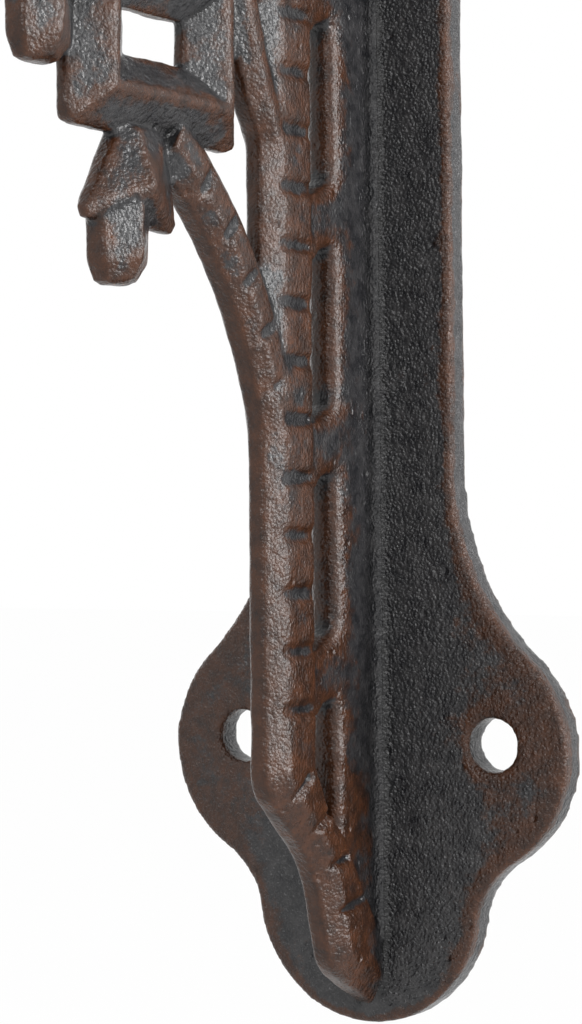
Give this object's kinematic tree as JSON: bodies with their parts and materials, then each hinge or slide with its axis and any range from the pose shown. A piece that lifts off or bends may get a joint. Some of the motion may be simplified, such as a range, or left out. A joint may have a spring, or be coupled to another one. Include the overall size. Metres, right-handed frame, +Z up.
{
  "type": "shelf bracket",
  "caption": "Cast iron L-shaped shelf bracket with flat eared wall and shelf plates, ribs, bevelled twigs, and a stepped stack of openwork frames with hanging drops.",
  "frame": {"origin": "on the wall face, midway between the two lower wall-screw holes", "axes": "+Y into the wall, so -Y points into the room and along the shelf arm; +Z up, towards the shelf; X along the wall"},
  "size_m": [0.0538, 0.1518, 0.2143],
  "materials": {
    "plates": "sand-cast, blue-black antique finish with rust-brown edges",
    "ribs": "sand-cast, grey-brown antique finish",
    "twigs": "sand-cast, rust-brown antique finish, rubbed on the ridges",
    "frames": "sand-cast, rust-brown antique finish, rubbed on the ridges",
    "drops": "sand-cast, rust-brown antique finish, rubbed on the ridges"
  },
  "bodies": {
    "root": {"wall_plate": "plates", "shelf_plate": "plates", "wall_rib": "ribs", "shelf_rib": "ribs", "wall_twig": "twigs", "shelf_twig": "twigs", "wall_twig_foot": "twigs", "shelf_twig_foot": "twigs", "wall_rungs": "twigs", "shelf_rungs": "twigs", "frame_1": "frames", "frame_2": "frames", "frame_3": "frames", "frame_4": "frames", "drop_1": "drops", "drop_2": "drops", "drop_3": "drops", "drop_4": "drops", "low_branch_twig": "twigs", "mid_branch_twig": "twigs", "high_branch_twig": "twigs"}
  },
  "joints": []
}
